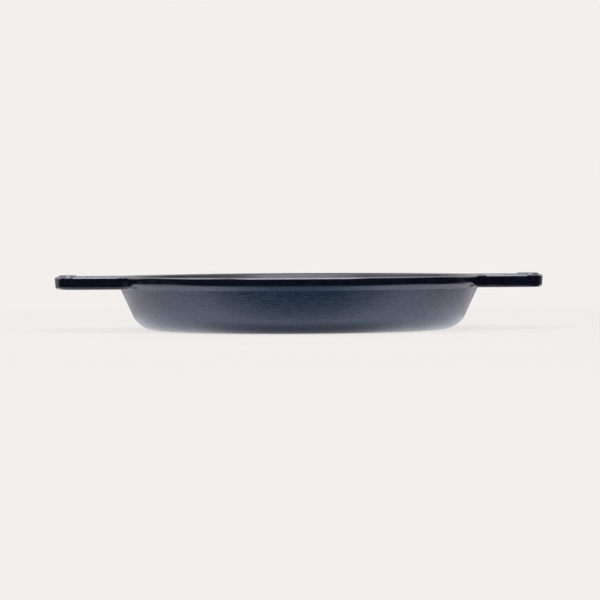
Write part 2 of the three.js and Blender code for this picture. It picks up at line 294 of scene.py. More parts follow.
def arc_about(bm, end, x, z, turn, steps):
    """Draws a section on along an arc, with a positive turn from X towards Z."""
    spun = bmesh.ops.spin(bm, geom=end, cent=(x, 0.0, z), axis=SECTION_AXIS, angle=turn, steps=steps)
    return spun["geom_last"]


def drawn_since(bm, before):
    """All that was drawn after the vertices of a set."""
    verts = [vert for vert in bm.verts if vert not in before]
    return verts + list({edge for vert in verts for edge in vert.link_edges})


def verts_of(drawn):
    """The vertices among what was drawn."""
    return [part for part in drawn if isinstance(part, bmesh.types.BMVert)]


def bent(bm, strip, centre, turn, steps):
    """Draws a strip on along an arc in plan."""
    spun = bmesh.ops.spin(bm, geom=strip, cent=centre.to_3d(), axis=PLAN_AXIS, angle=turn, steps=steps)
    return spun["geom_last"]


def revolved(bm):
    """Spins everything drawn so far right round the pan's axis."""
    drawn = bm.verts[:] + bm.edges[:]
    bmesh.ops.spin(bm, geom=drawn, cent=(0, 0, 0), axis=PLAN_AXIS, angle=2 * pi, steps=ROUND_STEPS,
                   use_merge=True)


def faced(bm, near, outward):
    """Merges doubles and turns every face so that the one nearest a point faces outward."""
    bmesh.ops.remove_doubles(bm, verts=bm.verts[:], dist=WELD)
    bmesh.ops.recalc_face_normals(bm, faces=bm.faces[:])
    probe = min(bm.faces, key=lambda face: (face.calc_center_median() - Vector(near)).length)
    if probe.normal.dot(Vector(outward)) < 0:
        bmesh.ops.reverse_faces(bm, faces=bm.faces[:])


def mark_edges(bm):
    """Notes on each vertex how sharply the surface turns over there, for wear on edges."""
    layer = bm.verts.layers.float.new("edge")
    for vert in bm.verts:
        turns = [edge.calc_face_angle_signed(0.0) for edge in vert.link_edges]
        vert[layer] = max(0.0, *turns) if turns else 0.0


def made_object(context, bm, name, material):
    """Makes an object with a material from what was drawn."""
    mesh = bpy.data.meshes.new(name)
    bm.to_mesh(mesh)
    bm.free()
    mesh.materials.append(material)
    thing = bpy.data.objects.new(name, mesh)
    context.collection.objects.link(thing)
    return thing


def finished(context, bm, name, material, nodes):
    """Gives a drawn surface the thickness of its coat and makes it a piece of the pan."""
    mark_edges(bm)
    bmesh.ops.solidify(bm, geom=bm.faces[:], thickness=context.scene.pan_sizes.coat)
    piece = made_object(context, bm, name, material)
    piece.data.shade_smooth()
    piece.data.set_sharp_from_angle(angle=SHARP_ANGLE)
    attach(piece, "root")
    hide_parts(*nodes)


# Shapes of the bowl


def corner_centre(sizes, inset, radius, height):
    """Radius from the axis to the middle of a corner that lies inside the outer wall."""
    rise = sizes.crease_height - height - radius
    return sizes.crease_radius - (inset + radius) / cos(sizes.wall_lean) - rise * tan(sizes.wall_lean)


def wall_surface(sizes):
    """Outer wall from the edge of the base up to the crease."""
    bm = bmesh.new()
    middle = corner_centre(sizes, 0.0, sizes.outer_corner, 0.0)
    end = drawn_from(bm, middle, 0.0)
    end = arc_about(bm, end, middle, sizes.outer_corner, pi / 2 - sizes.wall_lean, CORNER_STEPS)
    line_to(bm, end, sizes.crease_radius, sizes.crease_height, WALL_STEPS)
    revolved(bm)
    faced(bm, (sizes.crease_radius, 0.0, sizes.crease_height), (1, 0, 0))
    return bm


def floor_height(sizes):
    """Height of the cooking floor."""
    return INNER_LOW.z + sizes.coat


def inner_surface(sizes):
    """Cooking floor, inner corner and inner wall, up over the crown's inner edge."""
    bm = bmesh.new()
    floor = floor_height(sizes)
    middle = corner_centre(sizes, sizes.wall_thickness, sizes.inner_corner, floor)
    lean = sizes.wall_lean
    end = drawn_from(bm, 0.0, floor)
    end = line_to(bm, end, middle, floor, FLOOR_STEPS)
    end = arc_about(bm, end, middle, floor + sizes.inner_corner, pi / 2 - lean, CORNER_STEPS)
    edge = sizes.crown_edge
    edge_middle = crown_inner_radius(sizes)
    edge_height = sizes.height - edge
    end = line_to(bm, end, edge_middle - edge * cos(lean), edge_height + edge * sin(lean), WALL_STEPS)
    arc_about(bm, end, edge_middle, edge_height, lean - pi / 2, EDGE_STEPS)
    revolved(bm)
    faced(bm, (0.0, 0.0, floor), (0, 0, 1))
    return bm


def crown_inner_radius(sizes):
    """Radius from the axis at which the crown's inner edge starts to round over."""
    edge = sizes.crown_edge
    rise = sizes.height - edge - sizes.crease_height
    inset = (sizes.wall_thickness - edge) / cos(sizes.wall_lean)
    return sizes.crease_radius - inset + rise * tan(sizes.wall_lean)


def base_surface(sizes):
    """Underside, with a shallow recess inside the standing ring."""
    bm = bmesh.new()
    outside = corner_centre(sizes, 0.0, sizes.outer_corner, 0.0)
    ring = outside - sizes.ring_width
    edge = sizes.recess_edge
    end = drawn_from(bm, 0.0, sizes.recess)
    end = line_to(bm, end, ring - edge, sizes.recess, FLOOR_STEPS)
    end = arc_about(bm, end, ring - edge, sizes.recess - edge, -pi / 2, EDGE_STEPS)
    end = arc_about(bm, end, ring + edge, sizes.recess - edge, pi / 2, EDGE_STEPS)
    line_to(bm, end, outside, 0.0, FLOOR_STEPS)
    revolved(bm)
    faced(bm, (outside, 0.0, 0.0), (0, 0, -1))
    return bm


# Shapes of the rim and handles


class HandlePlan:
    """Arcs of a handle in plan, for the handle along +X and its arm on the +Y side."""

    def __init__(self, sizes, rim_radius):
        self.axis = Vector((0.0, 0.0))
        self.bow = Vector((sizes.tip - sizes.bow_radius, 0.0))
        self.start = Vector((rim_radius, sizes.root_width / 2))
        self.along = (Vector((sizes.tip, sizes.tip_width / 2)) - self.start).normalized()
        self.out = Vector((-self.along.y, self.along.x))
        self.square = bearing(self.out)
        slot_bow = sizes.bow_radius - sizes.bar_width
        inside = -sizes.arm_width
        root = self.centre(sizes.root_fillet, self.axis, rim_radius + sizes.root_fillet)
        tip = self.centre(-sizes.tip_corner, self.bow, sizes.bow_radius - sizes.tip_corner)
        self.outside = HandleEdge(self, root, -sizes.root_fillet, tip, sizes.tip_corner, self.square - pi)
        root = self.centre(inside - sizes.slot_fillet, self.axis, rim_radius + sizes.slot_fillet)
        tip = self.centre(inside - sizes.slot_corner, self.bow, slot_bow - sizes.slot_corner)
        self.gap = HandleEdge(self, root, sizes.slot_fillet, tip, sizes.slot_corner, self.square - 2 * pi)

    def centre(self, outside, around, distance):
        """Middle of an arc this far outside the arm's edge and at a distance from another middle."""
        start = self.start + self.out * outside
        offset = start - around
        nearest = -offset.dot(self.along)
        return start + self.along * (nearest + sqrt(nearest ** 2 - offset.length_squared + distance ** 2))


class HandleEdge:
    """One edge round a handle: middles of its fillet and its corner, its turns, and the arm between."""

    def __init__(self, plan, root, to_arm, tip, corner, facing):
        self.root = root
        self.tip = tip
        self.arm = (tip + plan.out * corner) - (root + plan.out * to_arm)
        self.fillet_turn = facing - bearing(plan.axis - root)
        self.corner_turn = bearing(tip - plan.bow) - plan.square
        self.bow_turn = -2 * bearing(tip - plan.bow)


def bearing(vector):
    """Direction of a plan vector as an angle from +X."""
    return atan2(vector.y, vector.x)


def mirrored(vector):
    """The same place on the arm at the -Y side."""
    return Vector((vector.x, -vector.y))


def placed(bm, section, at, heading):
    """Moves a drawn section so that its inside points along a heading from a plan point."""
    place = Matrix.Translation(at.to_3d()) @ Matrix.Rotation(heading, 4, "Z")
    bmesh.ops.transform(bm, matrix=place, verts=verts_of(section))


def edge_section(bm, sizes, top):
    """Edge of the rim and handles, from the underside up to the top, with +X into the metal. Its face
    leans out upwards and is furthest out, at X 0, under the rounded top edge."""
    before = set(bm.verts)
    below = sizes.bottom_edge
    above = sizes.top_edge
    lean = sizes.draft
    end = drawn_from(bm, below, sizes.bottom)
    end = arc_about(bm, end, below, sizes.bottom + below, lean - pi / 2, EDGE_STEPS)
    rise = (top - above * (1 + sin(lean)) - end[0].co.z) / cos(lean)
    end = carried(bm, end, (-rise * sin(lean), 0.0, rise * cos(lean)), FACE_STEPS)
    brow = end[0].co
    middle = (brow.x + above * cos(lean), brow.z + above * sin(lean))
    end = arc_about(bm, end, *middle, -lean - pi / 2, EDGE_STEPS)
    carried(bm, end, (sizes.land, 0.0, 0.0))
    section = drawn_since(bm, before)
    bmesh.ops.translate(bm, vec=(above - middle[0], 0.0, 0.0), verts=verts_of(section))
    return section


def round_handle(bm, strip, plan, edge, spot):
    """Draws a strip on along an edge of a handle, from one arm's root round the bow to the other's."""
    strip = bent(bm, strip, spot @ edge.root, edge.fillet_turn, FILLET_STEPS)
    strip = carried(bm, strip, (spot @ edge.arm).to_3d(), ARM_STEPS)
    strip = bent(bm, strip, spot @ edge.tip, edge.corner_turn, CORNER_STEPS)
    strip = bent(bm, strip, spot @ plan.bow, edge.bow_turn, BOW_STEPS)
    strip = bent(bm, strip, spot @ mirrored(edge.tip), edge.corner_turn, CORNER_STEPS)
    strip = carried(bm, strip, (spot @ -mirrored(edge.arm)).to_3d(), ARM_STEPS)
    return bent(bm, strip, spot @ mirrored(edge.root), edge.fillet_turn, FILLET_STEPS)


def rim_and_handle_edges(bm, sizes, plan, rim_radius, top):
    """Strip along the outer edge: round each handle and on along the rim to the next."""
    root = plan.outside.root.normalized() * rim_radius
    rim_turn = 2 * bearing(plan.outside.root) - pi
    strip = edge_section(bm, sizes, top)
    placed(bm, strip, root, bearing(-root))
    for turn in HANDLE_TURNS:
        strip = round_handle(bm, strip, plan, plan.outside, Matrix.Rotation(turn, 2))
        strip = bent(bm, strip, plan.axis, rim_turn, RIM_STEPS)


def finger_gap_edges(bm, sizes, plan, rim_radius, top):
    """Strips round the finger gaps, along each bow and back along the rim."""
    root = plan.gap.root.normalized() * rim_radius
    rim_turn = 2 * bearing(plan.gap.root)
    for turn in HANDLE_TURNS:
        spot = Matrix.Rotation(turn, 2)
        strip = edge_section(bm, sizes, top)
        placed(bm, strip, spot @ root, bearing(spot @ -root))
        strip = round_handle(bm, strip, plan, plan.gap, spot)
        bent(bm, strip, plan.axis, rim_turn, SLOT_RIM_STEPS)


def slope_share(sizes, plan, spot, rim_radius):
    """How far the rim's underside slopes at a plan point: not at all along the arms and the bar."""
    if spot.length > rim_radius + sizes.root_fillet:
        return 0.0
    beside = (Vector((abs(spot.x), abs(spot.y))) - plan.start).dot(plan.out)
    clear = (max(beside, -sizes.arm_width - beside) - sizes.slope_start) / sizes.slope_fade
    clear = min(1.0, max(0.0, clear))
    return clear * clear * (3 - 2 * clear)


def slope_under_rim(bm, sizes, plan, bowl):
    """Pulls the lower edge in under the rim to a slope that ends in the crease, and fades that out
    towards the arms, because the handles keep a round lower edge."""
    # The slope layer marks the sloping underside, which the rim's material paints paler as painted light.
    layer = bm.verts.layers.float.new("slope")
    corner = sizes.rim_corner
    slope_top = sizes.bottom + sizes.slope_rise
    face = (bowl.height - sizes.top_edge - slope_top) * tan(sizes.draft)
    lean = atan2(bowl.rim_radius - bowl.crease_radius - face, sizes.slope_rise)
    bend_top = slope_top + corner * tan(lean / 2)
    bend_foot = bend_top - corner * sin(lean)
    for vert in bm.verts:
        height = vert.co.z
        if height > bend_top:
            continue
        if height > bend_foot:
            inset = corner - sqrt(corner ** 2 - (bend_top - height) ** 2)
        else:
            inset = (slope_top - height) * tan(lean)
        spot = vert.co.to_2d()
        share = slope_share(sizes, plan, spot, bowl.rim_radius)
        target = bowl.rim_radius - face - inset
        vert.co -= spot.normalized().to_3d() * (spot.length - target) * share
        vert[layer] = share * min(1.0, (bend_top - height) / (bend_top - bend_foot))


def raised_rests(bm, sizes, plan, top):
    """Strips round the raised rests on the bars, with soft edges that rise from the top face."""
    middle = sizes.bow_radius - sizes.bar_width / 2
    half = sizes.rest_width / 2
    reach = (sizes.rest_length / 2 - half) / middle
    slope = sizes.rest_slope
    radius = (sizes.rest_top - top) / 2 / (1 - cos(slope))
    run = radius * sin(slope)
    for turn in HANDLE_TURNS:
        spot = Matrix.Rotation(turn, 2)
        before = set(bm.verts)
        end = drawn_from(bm, -run, top)
        end = arc_about(bm, end, -run, top + radius, slope, EDGE_STEPS)
        end = arc_about(bm, end, run, sizes.rest_top - radius, -slope, EDGE_STEPS)
        carried(bm, end, (sizes.land, 0.0, 0.0))
        strip = drawn_since(bm, before)
        first = plan.bow + Matrix.Rotation(-reach, 2) @ Vector((middle + half, 0.0))
        placed(bm, strip, spot @ first, turn + pi - reach)
        ends = [plan.bow + Matrix.Rotation(side * reach, 2) @ Vector((middle, 0.0)) for side in (1, -1)]
        strip = bent(bm, strip, spot @ plan.bow, 2 * reach, REST_STEPS)
        strip = bent(bm, strip, spot @ ends[0], pi, REST_STEPS)
        strip = bent(bm, strip, spot @ plan.bow, -2 * reach, REST_STEPS)
        bent(bm, strip, spot @ ends[1], pi, REST_STEPS)


def fill_level(bm, height, circle_radius=None):
    """Fills the flat between the open edges that lie at one height, round an optional inner circle."""
    if circle_radius:
        place = Matrix.Translation((0.0, 0.0, height))
        bmesh.ops.create_circle(bm, radius=circle_radius, segments=ROUND_STEPS, matrix=place)
    edges = [edge for edge in bm.edges if len(edge.link_faces) < 2
             and all(abs(vert.co.z - height) < SAME_HEIGHT for vert in edge.verts)]
    bmesh.ops.triangle_fill(bm, use_beauty=True, edges=edges, normal=PLAN_AXIS)


def rim_and_handles_surface(sizes, bowl):
    """Rim and both handles in one run of enamel, open towards the iron."""
    bm = bmesh.new()
    plan = HandlePlan(sizes, bowl.rim_radius)
    rim_and_handle_edges(bm, sizes, plan, bowl.rim_radius, bowl.height)
    finger_gap_edges(bm, sizes, plan, bowl.rim_radius, bowl.height)
    raised_rests(bm, sizes, plan, bowl.height)
    bmesh.ops.remove_doubles(bm, verts=bm.verts[:], dist=WELD)
    slope_under_rim(bm, sizes, plan, bowl)
    fill_level(bm, sizes.bottom, bowl.crease_radius - bowl.coat)
    fill_level(bm, bowl.height, crown_inner_radius(bowl))
    fill_level(bm, sizes.rest_top)
    faced(bm, (sizes.tip, 0.0, sizes.bottom), (1, 0, 0))
    return bm


# Finishes


def new_material(name):
    """Material with a Principled shader; gives back the material, its nodes and the shader."""
    material = bpy.data.materials.new(name)
    material.use_nodes = True
    return material, material.node_tree, material.node_tree.nodes["Principled BSDF"]


def add_node(tree, kind, values=None, **settings):
    """Node with settings, and with values on the sockets that stay unlinked."""
    node = tree.nodes.new(kind)
    for name, value in settings.items():
        setattr(node, name, value)
    for socket, value in (values or {}).items():
        node.inputs[socket].default_value = value
    return node


def opaque(shade):
    """Colour with full alpha."""
    return (*shade, 1.0)


def fed(tree, value, socket):
    """Feeds a socket from another socket, or sets it to a plain value."""
    if isinstance(value, bpy.types.NodeSocket):
        tree.links.new(value, socket)
    else:
        socket.default_value = value


def own_coordinates(tree):
    """Object coordinates."""
    return add_node(tree, "ShaderNodeTexCoord").outputs["Object"]


def attribute(tree, name):
    """Value that the mesh keeps on its vertices under a name."""
    return add_node(tree, "ShaderNodeAttribute", attribute_name=name).outputs["Fac"]


def noise(tree, place, scale, detail, roughness=0.5):
    """Noise over a place, at a scale that may be a socket; gives back its value."""
    node = add_node(tree, "ShaderNodeTexNoise", {"Detail": detail, "Roughness": roughness})
    tree.links.new(place, node.inputs["Vector"])
    fed(tree, scale, node.inputs["Scale"])
    return node.outputs["Fac"]


def ranged(tree, value, low, high, new_low=0.0, new_high=1.0):
    """Value carried from one range to another, smoothly and within it."""
    values = {"From Min": low, "From Max": high, "To Min": new_low, "To Max": new_high}
    node = add_node(tree, "ShaderNodeMapRange", values, interpolation_type="SMOOTHSTEP")
    tree.links.new(value, node.inputs["Value"])
    return node.outputs["Result"]


def joined(tree, operation, first, second):
    """Two values put together; the second may be a number."""
    node = add_node(tree, "ShaderNodeMath", operation=operation)
    tree.links.new(first, node.inputs[0])
    fed(tree, second, node.inputs[1])
    return node.outputs["Value"]


def vectors_joined(tree, operation, vector, other=(0.0, 0.0, 0.0)):
    """A vector put together with a plain one; gives back the node's outputs."""
    node = add_node(tree, "ShaderNodeVectorMath", {1: other}, operation=operation)
    tree.links.new(vector, node.inputs[0])
    return node.outputs


def blended(tree, share, first, second):
    """Two colours mixed by a share; either may be a socket or a plain colour."""
    node = add_node(tree, "ShaderNodeMix", data_type="RGBA")
    tree.links.new(share, node.inputs["Factor"])
    for index, shade in zip(MIX_COLOURS, (first, second)):
        plain = not isinstance(shade, bpy.types.NodeSocket)
        fed(tree, opaque(shade) if plain else shade, node.inputs[index])
    return node.outputs[MIX_RESULT]


def new_group(name, inputs, outputs):
    """Shader node group with named sockets; gives back the group and its two end nodes."""
    group = bpy.data.node_groups.new(name, "ShaderNodeTree")
    for direction, sockets in (("INPUT", inputs), ("OUTPUT", outputs)):
        for socket, kind in sockets.items():
            group.interface.new_socket(socket, in_out=direction, socket_type=f"NodeSocket{kind}")
    return group, group.nodes.new("NodeGroupInput"), group.nodes.new("NodeGroupOutput")


def fired_enamel():
    """Node group: two shades in a soft mottle with fine grains, an uneven gloss and an orange peel."""
    name = "fired enamel"
    if name in bpy.data.node_groups:
        return bpy.data.node_groups[name]
    inputs = {"Main": "Color", "Mottle": "Color", "Mottle Scale": "Float", "Peel Scale": "Float",
              "Grain": "Float", "Gloss": "Float", "Unevenness": "Float"}
    outputs = {"Color": "Color", "Roughness": "Float", "Height": "Float"}
    group, given, result = new_group(name, inputs, outputs)
    place = own_coordinates(group)
    wide = vectors_joined(group, "MULTIPLY", place, PEEL_SHAPE)["Vector"]
    peel = noise(group, wide, given.outputs["Peel Scale"], detail=2.0, roughness=0.45)
    group.links.new(peel, result.inputs["Height"])

    mottle = noise(group, place, given.outputs["Mottle Scale"], detail=4.0, roughness=0.6)
    hollow = joined(group, "SUBTRACT", peel, NOISE_MEAN)
    grain = joined(group, "MULTIPLY", hollow, given.outputs["Grain"])
    share = ranged(group, joined(group, "ADD", mottle, grain), *MOTTLE_BAND)
    shade = blended(group, share, given.outputs["Main"], given.outputs["Mottle"])
    group.links.new(shade, result.inputs["Color"])

    spread = joined(group, "MULTIPLY", share, given.outputs["Unevenness"])
    rough = joined(group, "ADD", spread, given.outputs["Gloss"])
    group.links.new(rough, result.inputs["Roughness"])
    return group


def rubbed():
    """Node group: fine marks in rings about the pan's axis, broken up into patches."""
    name = "rubbed rings"
    if name in bpy.data.node_groups:
        return bpy.data.node_groups[name]
    group, given, result = new_group(name, {"Ring Scale": "Float", "Patch Scale": "Float"}, {"Mask": "Float"})
    place = own_coordinates(group)
    flat = vectors_joined(group, "MULTIPLY", place, FLAT)["Vector"]
    reach = vectors_joined(group, "LENGTH", flat)["Value"]
    rings = add_node(group, "ShaderNodeTexNoise", {"Detail": 3.0}, noise_dimensions="1D")
    group.links.new(reach, rings.inputs["W"])
    group.links.new(given.outputs["Ring Scale"], rings.inputs["Scale"])
    lines = ranged(group, rings.outputs["Fac"], *RING_BAND)
    areas = ranged(group, noise(group, place, given.outputs["Patch Scale"], detail=3.0), *PATCH_BAND)
    group.links.new(joined(group, "MULTIPLY", lines, areas), result.inputs["Mask"])
    return group


def placed_group(tree, group, values):
    """A node group placed in a material with its own values."""
    return add_node(tree, "ShaderNodeGroup", values, node_tree=group)


def bumped(tree, shader, height, strength, distance):
    """Raises a height on the shader's surface."""
    bump = add_node(tree, "ShaderNodeBump", {"Strength": strength, "Distance": distance})
    tree.links.new(height, bump.inputs["Height"])
    tree.links.new(bump.outputs["Normal"], shader.inputs["Normal"])


def new_enamel(name, main, mottle, finish, ior, strength, peel):
    """Material of fired enamel; gives back the material, its nodes, the shader and the enamel's node."""
    material, tree, shader = new_material(name)
    enamel = placed_group(tree, fired_enamel(), {"Main": opaque(main), "Mottle": opaque(mottle), **finish})
    shader.inputs["IOR"].default_value = ior
    shader.inputs["Specular Tint"].default_value = ENAMEL_TINT
    tree.links.new(enamel.outputs["Roughness"], shader.inputs["Roughness"])
    bumped(tree, shader, enamel.outputs["Height"], strength, peel)
    return material, tree, shader, enamel


def gloss_enamel(name, main, mottle, thin, gloss, grain, peel):
    """Gloss navy enamel over iron, paler where it runs thin over an edge, with painted light on the rim's
    sloping underside.
    """
    finish = {"Mottle Scale": 70.0, "Peel Scale": 330.0, "Grain": grain, "Gloss": gloss, "Unevenness": 0.07}
    material, tree, shader, enamel = new_enamel(name, main, mottle, finish, ENAMEL_IOR, strength=1.0,
                                                peel=peel)
    worn = ranged(tree, attribute(tree, "edge"), *EDGE_TURN, 0.0, EDGE_SHARE)
    edges = joined(tree, "MULTIPLY", worn, noise(tree, own_coordinates(tree), scale=260.0, detail=3.0))
    # Paler on worn edges, and painted light where the slope layer marks the rim's underside; for the rim,
    # thin carries that painted light too.
    paler = joined(tree, "MAXIMUM", edges, attribute(tree, "slope"))
    tree.links.new(blended(tree, paler, enamel.outputs["Color"], thin), shader.inputs["Base Color"])
    return material


def satin_enamel(colours):
    """Satin black enamel of the cooking surface, finely pebbled, with faint marks of stirring."""
    finish = {"Mottle Scale": 45.0, "Peel Scale": 900.0, "Grain": 0.3, "Gloss": 0.30, "Unevenness": 0.08}
    material, tree, shader, enamel = new_enamel("satin_black_enamel", colours.satin_black, colours.satin_grey,
                                                finish, SATIN_IOR, strength=0.5, peel=0.00005)
    rings = placed_group(tree, rubbed(), {"Ring Scale": 1400.0, "Patch Scale": 22.0})
    faint = joined(tree, "MULTIPLY", rings.outputs["Mask"], STIRRED_SHARE)
    shade = blended(tree, faint, enamel.outputs["Color"], colours.stirred)
    tree.links.new(shade, shader.inputs["Base Color"])
    return material


def base_enamel(colours):
    """Navy enamel of the underside, scuffed in rings on the standing ring."""
    finish = {"Mottle Scale": 60.0, "Peel Scale": 400.0, "Grain": 0.3, "Gloss": 0.16, "Unevenness": 0.14}
    # The underside takes the rim's darker navy, with its painted shade.
    material, tree, shader, enamel = new_enamel("base_navy_enamel", colours.rim_navy_and_shade, colours.wall_navy,
                                                finish, ENAMEL_IOR, strength=0.35, peel=0.00006)
    rings = placed_group(tree, rubbed(), {"Ring Scale": 700.0, "Patch Scale": 30.0})
    shade = blended(tree, rings.outputs["Mask"], enamel.outputs["Color"], colours.scuffed)
    tree.links.new(shade, shader.inputs["Base Color"])
    scuffed = joined(tree, "MULTIPLY", rings.outputs["Mask"], SCUFFED_ROUGHNESS)
    tree.links.new(joined(tree, "ADD", enamel.outputs["Roughness"], scuffed), shader.inputs["Roughness"])
    return material


def bare_iron(colours):
    """Sand-cast grey iron, for the metal inside the coats."""
    material, tree, shader = new_material("bare_cast_iron")
    grain = noise(tree, own_coordinates(tree), scale=900.0, detail=6.0, roughness=0.65)
    shade = blended(tree, ranged(tree, grain, *IRON_BAND), colours.iron_dark, colours.iron_light)
    tree.links.new(shade, shader.inputs["Base Color"])
    rough = ranged(tree, grain, *IRON_GLOSS_BAND, *IRON_ROUGHNESS)
    tree.links.new(rough, shader.inputs["Roughness"])
    shader.inputs["Metallic"].default_value = 0.8
    bumped(tree, shader, grain, strength=0.6, distance=0.0002)
    return material


# Operators, one for each piece or group of like pieces


class PAN_OT_wall_coat(bpy.types.Operator):
    """Make the gloss coat of the outer wall"""

    bl_idname = "pan.wall_coat"
    bl_label = "Wall coat"

    def execute(self, context):
        sizes = context.scene.pan_sizes
        colours = context.scene.pan_colours
        finish = gloss_enamel("wall_navy_enamel", colours.wall_navy, colours.wall_teal, colours.wall_teal,
                              gloss=0.20, grain=1.9, peel=0.00031)
        finished(context, wall_surface(sizes), "wall_coat", finish, ["wall_enamel"])
        return {"FINISHED"}


class PAN_OT_rim_and_handles_coat(bpy.types.Operator):
    """Make the gloss coat that runs round the rim and both handles"""

    bl_idname = "pan.rim_and_handles_coat"
    bl_label = "Rim and handles coat"

    def execute(self, context):
        sizes = context.scene.pan_sizes
        colours = context.scene.pan_colours
        # Darker navy and mottle with painted shade, for the rim and handles.
        finish = gloss_enamel("rim_navy_enamel", colours.rim_navy_and_shade, colours.rim_blue_and_shade, colours.rim_under_lit_and_worn,
                              gloss=0.10, grain=0.3, peel=0.00002)
        surface = rim_and_handles_surface(context.scene.pan_handles, sizes)
        nodes = ["rim_enamel", "handle_enamel_left", "handle_enamel_right"]
        finished(context, surface, "rim_and_handles_coat", finish, nodes)
        return {"FINISHED"}


class PAN_OT_inner_coat(bpy.types.Operator):
    """Make the satin coat of the cooking surface"""

    bl_idname = "pan.inner_coat"
    bl_label = "Inner coat"

    def execute(self, context):
        sizes = context.scene.pan_sizes
        finish = satin_enamel(context.scene.pan_colours)
        finished(context, inner_surface(sizes), "inner_coat", finish, ["inner_enamel"])
        return {"FINISHED"}


class PAN_OT_base_coat(bpy.types.Operator):
    """Make the coat under the base, with its standing ring"""

    bl_idname = "pan.base_coat"
    bl_label = "Base coat"

    def execute(self, context):
        sizes = context.scene.pan_sizes
        finish = base_enamel(context.scene.pan_colours)
        finished(context, base_surface(sizes), "base_coat", finish, ["base_enamel"])
        return {"FINISHED"}


class PAN_OT_iron_finish(bpy.types.Operator):
    """Give the iron inside the coats its bare cast finish"""

    bl_idname = "pan.iron_finish"
    bl_label = "Iron finish"

    def execute(self, context):
        finish = bare_iron(context.scene.pan_colours)
        for name in ("iron_bowl", "iron_handle_left", "iron_handle_right"):
            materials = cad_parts[name].data.materials
            materials.clear()
            materials.append(finish)
        return {"FINISHED"}


# Stage


def seen_directly(tree):
    """1 for the rays of the camera and of reflections, 0 for the rays that only carry light."""
    path = add_node(tree, "ShaderNodeLightPath")
    shown = joined(tree, "MAXIMUM", path.outputs["Is Camera Ray"], path.outputs["Is Glossy Ray"])
    return joined(tree, "MAXIMUM", shown, path.outputs["Is Transmission Ray"])


def own_place(tree):
    """Object coordinates, their parts X, Y and Z, and their distance from the origin."""
    place = own_coordinates(tree)
    split = add_node(tree, "ShaderNodeSeparateXYZ")
    tree.links.new(place, split.inputs["Vector"])
    return place, split.outputs, vectors_joined(tree, "LENGTH", place)["Value"]


def layered(tree, share, under, over):
    """Two shaders mixed by a share."""
    mix = add_node(tree, "ShaderNodeMixShader")
    tree.links.new(share, mix.inputs["Fac"])
    tree.links.new(under, mix.inputs[1])
    tree.links.new(over, mix.inputs[2])
    return mix.outputs["Shader"]


def surface_of(tree, shader):
    """Puts a shader out as the material's surface."""
    tree.links.new(shader, tree.nodes["Material Output"].inputs["Surface"])


def floor_paper(settings):
    """Pale matt paper, mostly as pale as the background, that fades out further from the pan."""
    material, tree, shader = new_material("floor_paper")
    place, _, reach = own_place(tree)
    fibre = noise(tree, place, scale=120.0, detail=4.0)
    darker = [part * FIBRE_SHADE for part in settings.floor]
    tree.links.new(blended(tree, fibre, darker, settings.floor), shader.inputs["Base Color"])
    shader.inputs["Roughness"].default_value = 0.9
    shader.inputs["Specular IOR Level"].default_value = 0.1
    even = add_node(tree, "ShaderNodeEmission", {"Color": opaque(settings.pale), "Strength": 1.0})
    share = joined(tree, "MULTIPLY", seen_directly(tree), settings.floor_evenness)
    paper = layered(tree, share, shader.outputs["BSDF"], even.outputs["Emission"])
    clear = add_node(tree, "ShaderNodeBsdfTransparent").outputs["BSDF"]
    away = ranged(tree, reach, settings.floor_clear_from, settings.floor_clear_to)
    surface_of(tree, layered(tree, away, paper, clear))
    return material


def new_glow(name, strength):
    """Material that only glows; gives back the material, its nodes and the glow's colour socket."""
    material, tree, shader = new_material(name)
    tree.nodes.remove(shader)
    glow = add_node(tree, "ShaderNodeEmission", {"Strength": strength})
    surface_of(tree, glow.outputs["Emission"])
    return material, tree, glow.inputs["Color"]


def table_shades(tree, settings, parts, reach):
    """How far the table is shaded: past its front, before the pan's foot and by the right handle."""
    half = settings.table_blur / 2
    front = -settings.table_front
    shaded = ranged(tree, parts["Y"], front - half, front + half, 1.0, 0.0)
    shares = [(ranged(tree, reach, *FOOT_SHADE, settings.table_shade, 0.0), FOOT_SHADE_FRONT)]
    for side, end in (CORNER_SHADE, SIDE_SHADE):
        shares.append((ranged(tree, parts["X"], *side), end))
    for share, end in shares:
        patch = joined(tree, "MULTIPLY", share, ranged(tree, parts["Y"], *end, 1.0, 0.0))
        shaded = joined(tree, "MAXIMUM", shaded, patch)
    return shaded


def bright_table(settings):
    """Table as the enamel mirrors it, brightest beside the pan, with a grey far end and its shades."""
    material, tree, shown = new_glow("bright_table", settings.table_strength)
    place, parts, reach = own_place(tree)
    table = blended(tree, ranged(tree, reach, *NEAR_TO_FAR), settings.table_near, settings.table_far)
    table = blended(tree, ranged(tree, reach, *FAR_TO_WIDE), table, settings.table_wide)
    toward = vectors_joined(tree, "DOT_PRODUCT", place, END_WAY)["Value"]
    behind = ranged(tree, joined(tree, "DIVIDE", toward, reach), *END_SPREAD)
    end = blended(tree, behind, settings.shade, settings.table_end)
    table = blended(tree, ranged(tree, reach, *WIDE_TO_END), table, end)
    shaded = table_shades(tree, settings, parts, reach)
    tree.links.new(blended(tree, shaded, table, settings.shade), shown)
    return material


def horizon_cloth(settings):
    """Dark cloth in front of the pan and at its sides; behind it grey, darker at the very foot and
    pale high up."""
    material, tree, shown = new_glow("horizon_cloth", 1.0)
    _, parts, _ = own_place(tree)
    back = blended(tree, ranged(tree, parts["Z"], *CLOTH_PALE), settings.backdrop, settings.pale)
    back = blended(tree, ranged(tree, parts["Y"], *CLOTH_BACK), settings.shade, back)
    foot = blended(tree, ranged(tree, parts["Y"], *CLOTH_END), settings.shade, settings.table_end)
    tree.links.new(blended(tree, ranged(tree, parts["Z"], *CLOTH_FOOT), foot, back), shown)
    return material


def stage_object(context, bm, name, material):
    """Makes an object of a drawn surface, for the studio round the pan."""
    thing = made_object(context, bm, name, material)
    return thing


